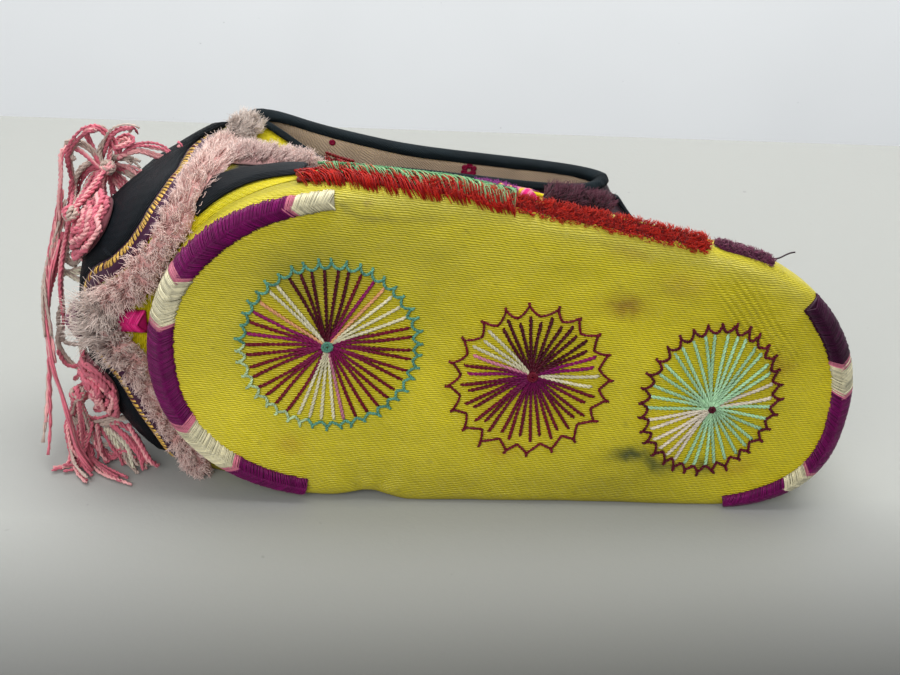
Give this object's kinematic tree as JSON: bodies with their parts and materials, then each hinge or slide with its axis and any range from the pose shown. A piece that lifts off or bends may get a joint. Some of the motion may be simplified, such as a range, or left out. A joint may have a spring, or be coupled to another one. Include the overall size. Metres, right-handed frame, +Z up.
{
  "type": "embroidered silk shoe",
  "caption": "Slack child's cloth shoe with a padded embroidered sole, fur and braid face, yarn coils, tassels and an open collar, on its side.",
  "frame": {"origin": "on the floor, under the sole's lower edge near the middle of its length, at the flat the sole rests on", "axes": "+X along the shoe from toe to heel, +Y from the sole into the shoe, +Z up as it lies on its side"},
  "size_m": [0.166, 0.0569, 0.07],
  "materials": {
    "yellow_silk": "twill silk, soft sheen",
    "lining_cloth": "printed cotton twill",
    "dark_binding": "bias-cut sateen",
    "black_sateen": "cotton sateen, dull gloss",
    "pink_fur": "dusty dyed fur",
    "metallic_braid": "purple braid with gold thread",
    "red_pile": "cut thread and chenille",
    "green_fringe": "cut thread fringe",
    "purple_pile": "matted plush",
    "pink_satin": "satin stitch",
    "spangle": "sewn spangles and thread",
    "pink_yarn": "twisted yarn, matt",
    "mauve_yarn": "twisted yarn, matt"
  },
  "bodies": {
    "root": {"sole": "yellow_silk", "insole": "lining_cloth", "upper": "yellow_silk", "collar_binding": "dark_binding", "fur_trim": "pink_fur", "braid_trim": "metallic_braid", "vamp_panel": "black_sateen", "fur_branch": "pink_fur", "throat_tuft": "pink_fur", "side_band": "black_sateen", "side_fringe_red": "red_pile", "side_fringe_green": "green_fringe", "side_braid": "metallic_braid", "side_plush_purple": "purple_pile", "petal_patch": "pink_satin", "side_plush_brown": "purple_pile", "side_spangles": "spangle", "seam_chenille_red": "red_pile", "seam_chenille_purple": "purple_pile", "heel_strip": "black_sateen", "far_fringe": "red_pile", "toe_pad": "pink_satin", "rosette_upper": "pink_yarn", "rosette_lower": "pink_yarn", "rosette_middle": "mauve_yarn", "tassel_upper": "pink_yarn", "tassel_lower": "pink_yarn"}
  },
  "joints": []
}
